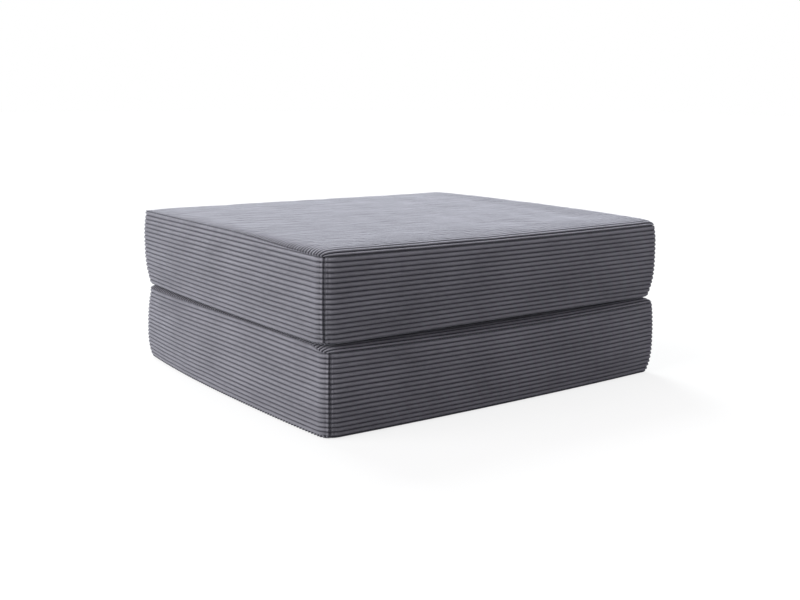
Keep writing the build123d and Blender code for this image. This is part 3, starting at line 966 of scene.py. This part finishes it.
def foam_material():
    """Open-celled foam."""
    surface = Surface("foam_cells", roughness=0.95)
    cells = surface.noise(scale=420, detail=4)
    colour = surface.ramp(cells, (0.35, (0.62, 0.58, 0.45)), (0.6, (0.86, 0.83, 0.72)))
    return surface.finish(colour, cells, distance=0.0008)


def wadding_material():
    """Matted white fibres."""
    surface = Surface("wadding_fibres", roughness=0.95)
    surface.set("Sheen Weight", 0.3)
    combed = surface.stretched(surface.place, (3, 1, 1))
    fibres = surface.noise(scale=60, detail=6, vector=combed)
    colour = surface.ramp(fibres, (0.3, (0.80, 0.80, 0.78)), (0.65, (0.92, 0.92, 0.90)))
    return surface.finish(colour, fibres, distance=0.003)


def nylon_material():
    """Smooth dark plastic of the zip's teeth."""
    surface = Surface("zip_nylon", roughness=0.42, specular=0.45)
    fine, coarse = surface.noise(scale=300, detail=2), surface.noise(scale=40, detail=2)
    colour = surface.tinted((0.10, 0.10, 0.11), surface.sum((fine, 0.6), (coarse, 1.4)))
    bumps = surface.noise(scale=800, detail=2)
    return surface.finish(colour, bumps, distance=0.0001, strength=0.2)


def metal_material():
    """Dark enamel on the slider and its puller, worn a little."""
    surface = Surface("zip_enamel", roughness=0.35, specular=0.5)
    surface.set("Metallic", 0.6)
    wear = surface.noise(scale=160, detail=4)
    colour = surface.ramp(wear, (0.35, (0.10, 0.10, 0.11)), (0.75, (0.20, 0.20, 0.215)))
    bumps = surface.noise(scale=500, detail=3)
    return surface.finish(colour, bumps, distance=0.00008, strength=0.25)


def dressed(piece, block, nodes, material):
    """Gives a piece its material and lets it stand for CAD nodes of its block."""
    piece.data.materials.append(material)
    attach(piece, block.body)
    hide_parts(*[f"{block.name}_{n}" for n in nodes])


def covered(piece, block, nodes, material):
    """The same for a stuffed piece."""
    dressed(piece, block, nodes, material)


def cover(block, material):
    """All sewn panels of one block's cover."""
    for side in SIDES:
        nodes = [f"cover_{side}_border"]
        if side == "back":
            nodes = ["cover_zip_strip_outer", "cover_zip_strip_inner"]
        covered(border(block, side), block, nodes, material)
    for face in ("outer", "sleeping"):
        covered(panel(block, face), block, [f"cover_{face}_panel"], material)


def enamelled(name, material):
    """Finishes a small metal part of the zip, which keeps its own shape."""
    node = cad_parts[name]
    node.data.materials.clear()
    node.data.materials.append(material)
    edges = node.modifiers.new("edges", "BEVEL")
    edges.width, edges.segments, edges.limit_method = METAL_EDGE, 2, "ANGLE"
    edges.use_clamp_overlap = True


def add_camera():
    """Camera at the photograph's viewing angle."""
    azimuth, elevation, roll = (math.radians(angle) for angle in CAMERA_ANGLES)
    level = math.cos(elevation)
    back = Vector((math.sin(azimuth) * level, -math.cos(azimuth) * level, math.sin(elevation)))
    turn = (-back).to_track_quat("-Z", "Y") @ Quaternion((0, 0, 1), roll)
    right, up = turn @ Vector((1, 0, 0)), turn @ Vector((0, 1, 0))
    data = bpy.data.cameras.new("camera")
    data.lens = data.sensor_width * FOCAL_PIXELS / PICTURE_WIDTH
    camera = bpy.data.objects.new("camera", data)
    camera.rotation_mode = "QUATERNION"
    camera.rotation_quaternion = turn
    camera.location = (
        CAMERA_TARGET + back * CAMERA_DISTANCE + right * CAMERA_RIGHT + up * CAMERA_UP
    )
    bpy.context.scene.collection.objects.link(camera)
    bpy.context.scene.camera = camera


def add_sun(name, towards, strength, angle, colour=(1, 1, 1)):
    """Soft distant lamp that shines from a direction."""
    data = bpy.data.lights.new(name, "SUN")
    data.energy = strength
    data.angle = math.radians(angle)
    data.color = colour
    lamp = bpy.data.objects.new(name, data)
    lamp.rotation_mode = "QUATERNION"
    lamp.rotation_quaternion = Vector(towards).to_track_quat("Z", "Y")
    bpy.context.scene.collection.objects.link(lamp)


def parted_shader(nodes, links, lighting, shown, surface):
    """Links to a surface one shader that lights the object, and another that the eye sees."""
    path = nodes.new("ShaderNodeLightPath")
    seen = path.outputs["Is Camera Ray"]
    for name in ("Is Glossy Ray", "Is Transmission Ray"):
        node = nodes.new("ShaderNodeMath")
        node.operation = "MAXIMUM"
        links.new(seen, node.inputs[0])
        links.new(path.outputs[name], node.inputs[1])
        seen = node.outputs[0]
    mix = nodes.new("ShaderNodeMixShader")
    links.new(seen, mix.inputs[0])
    links.new(lighting.outputs[0], mix.inputs[1])
    links.new(shown.outputs[0], mix.inputs[2])
    links.new(mix.outputs[0], surface)


def add_world(strength):
    """Pale room light, white to the eye."""
    world = bpy.data.worlds.new("studio")
    bpy.context.scene.world = world
    world.use_nodes = True
    nodes, links = world.node_tree.nodes, world.node_tree.links
    background = nodes["Background"]
    background.inputs["Color"].default_value = ROOM_COLOUR
    background.inputs["Strength"].default_value = strength
    white = nodes.new("ShaderNodeBackground")
    white.inputs["Color"].default_value = (1, 1, 1, 1)
    parted_shader(nodes, links, background, white, nodes["World Output"].inputs["Surface"])


def add_floor():
    """White floor that keeps the object's shadow."""
    size = FLOOR_HALF
    corners = [(-size, -size, 0), (size, -size, 0), (size, size, 0), (-size, size, 0)]
    floor = mesh_piece("floor", corners, [(0, 1, 2, 3)], smooth=False)
    floor.location.z = FLOOR_LEVEL
    material = bpy.data.materials.new("floor_white")
    material.use_nodes = True
    nodes, links = material.node_tree.nodes, material.node_tree.links
    nodes.remove(nodes["Principled BSDF"])
    bounce = nodes.new("ShaderNodeBsdfDiffuse")
    bounce.inputs["Color"].default_value = FLOOR_BOUNCE
    paper = nodes.new("ShaderNodeBsdfDiffuse")
    paper.inputs["Color"].default_value = FLOOR_PAPER
    glow = nodes.new("ShaderNodeEmission")
    glow.inputs["Strength"].default_value = FLOOR_GLOW
    lit = nodes.new("ShaderNodeAddShader")
    links.new(paper.outputs[0], lit.inputs[0])
    links.new(glow.outputs[0], lit.inputs[1])
    parted_shader(nodes, links, bounce, lit, nodes["Material Output"].inputs["Surface"])
    floor.data.materials.append(material)


corduroy, foam, fleece = corduroy_material(), foam_material(), wadding_material()
tape_cloth = woven_material("zip_tape_weave", (0.120, 0.117, 0.135), threads=240)
hinge_weave = woven_material("hinge_weave", (0.150, 0.146, 0.168), threads=160)
thread = woven_material("sewing_thread", (0.20, 0.20, 0.22), threads=600, roughness=0.6)
nylon, enamel = nylon_material(), metal_material()

lower, upper = Block("lower", -1), Block("upper", 1)
for block in (lower, upper):
    cover(block, corduroy)
    filling(block, foam, fleece)
    zip_chain(block, tape_cloth, nylon)
    stitches(block, thread)
    for part in ("slider", "puller"):
        enamelled(f"{block.name}_zip_{part}", enamel)
hinge_strip(lower, upper, hinge_weave)

add_camera()
add_world(strength=0.35)
add_sun("key", (-0.87, 0.2, 0.62), strength=2.2, angle=50)
add_sun("back_light", (0.15, 0.8, 0.72), strength=2.5, angle=30, colour=(0.94, 1.0, 0.99))
add_floor()
bpy.context.scene.view_settings.view_transform = "Standard"
